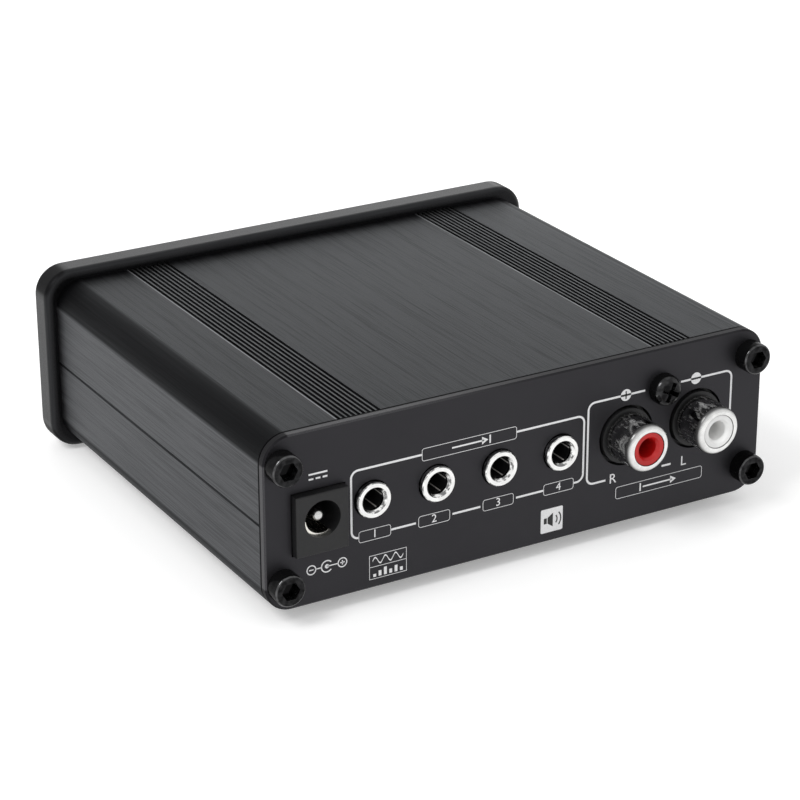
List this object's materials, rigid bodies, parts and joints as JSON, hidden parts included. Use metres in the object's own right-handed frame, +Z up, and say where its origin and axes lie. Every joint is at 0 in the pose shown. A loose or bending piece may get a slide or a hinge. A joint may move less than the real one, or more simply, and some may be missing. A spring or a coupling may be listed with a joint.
{
  "type": "audio switch box",
  "caption": "Flat black aluminium audio selector box with a row of mini sockets, a phono pair and a DC inlet at the rear, and rotary controls on an overhanging front panel.",
  "frame": {"origin": "on the floor, at the middle of the box's outer limits in X and Y, controls and sockets included", "axes": "+X to the right as seen from the front, +Y towards the rear sockets, +Z up"},
  "size_m": [0.0956, 0.101, 0.0331],
  "materials": {
    "black_case": "black anodised, brushed along its length",
    "black_plate": "fine matt black coating",
    "black_panel": "satin black anodised",
    "black_screw": "black oxide, semi-gloss",
    "nickel": "bright nickel plate",
    "black_plastic": "moulded black plastic",
    "red_plastic": "moulded red plastic",
    "white_plastic": "moulded white plastic",
    "contact_metal": "plated spring brass",
    "shaft_metal": "turned steel",
    "black_knob": "black anodised, fluted",
    "button_plastic": "satin black plastic",
    "lamp_lens": "tinted clear plastic",
    "rubber": "soft black rubber",
    "board": "green lacquered glass fibre",
    "relay_case": "moulded cream plastic",
    "chip_case": "moulded black resin",
    "capacitor_sleeve": "shrunk dark blue sleeve",
    "film_case": "moulded yellow plastic"
  },
  "bodies": {
    "case": {"lower_shell": "black_case", "upper_shell": "black_case", "rear_plate": "black_plate", "front_panel": "black_panel", "rubber_feet": "rubber", "main_board": "board", "rear_plate_screws": "black_screw", "front_panel_screws": "black_screw", "phono_screw": "black_screw", "input_socket_1_housing": "black_plastic", "input_socket_1_bushing": "nickel", "input_socket_1_contacts": "contact_metal", "input_socket_2_housing": "black_plastic", "input_socket_2_bushing": "nickel", "input_socket_2_contacts": "contact_metal", "input_socket_3_housing": "black_plastic", "input_socket_3_bushing": "nickel", "input_socket_3_contacts": "contact_metal", "input_socket_4_housing": "black_plastic", "input_socket_4_bushing": "nickel", "input_socket_4_contacts": "contact_metal", "output_socket_housing": "black_plastic", "output_socket_bushing": "nickel", "output_socket_contacts": "contact_metal", "phono_housing": "black_plastic", "phono_barrel_right": "nickel", "phono_insulator_right": "red_plastic", "phono_contact_right": "contact_metal", "phono_barrel_left": "nickel", "phono_insulator_left": "white_plastic", "phono_contact_left": "contact_metal", "dc_socket_housing": "black_plastic", "dc_socket_pin": "nickel", "dc_socket_spring": "contact_metal", "selector_switch_body": "black_plastic", "selector_bushing": "shaft_metal", "selector_nut": "shaft_metal", "volume_pot_body": "shaft_metal", "volume_bushing": "shaft_metal", "volume_nut": "shaft_metal", "power_switch_body": "black_plastic", "power_spring": "shaft_metal", "power_led": "lamp_lens", "power_led_leads": "contact_metal", "relays": "relay_case", "amplifier_chips": "chip_case", "film_capacitors": "film_case", "voltage_regulator": "chip_case", "electrolytic_capacitors": "capacitor_sleeve"},
    "selector": {"selector_shaft": "shaft_metal", "selector_knob": "black_knob", "selector_grub_screw": "black_screw"},
    "volume": {"volume_shaft": "shaft_metal", "volume_knob": "black_knob", "volume_grub_screw": "black_screw"},
    "power": {"power_button": "button_plastic", "power_plunger": "white_plastic"}
  },
  "joints": [
    {"name": "selector_turn", "type": "hinge", "parent": "case", "child": "selector", "pos_m": [-0.001, -0.0375, 0.0168], "axis": [0, 1, 0], "range_deg": [0, 90]},
    {"name": "volume_turn", "type": "hinge", "parent": "case", "child": "volume", "pos_m": [0.0275, -0.0375, 0.0168], "axis": [0, 1, 0], "range_deg": [-150, 150]},
    {"name": "power_press", "type": "slide", "parent": "case", "child": "power", "axis": [0, 1, 0], "range_m": [0, 0.002], "stiffness_N_per_m": 500, "springref_m": -0.001, "deforming": ["power_spring"]}
  ]
}
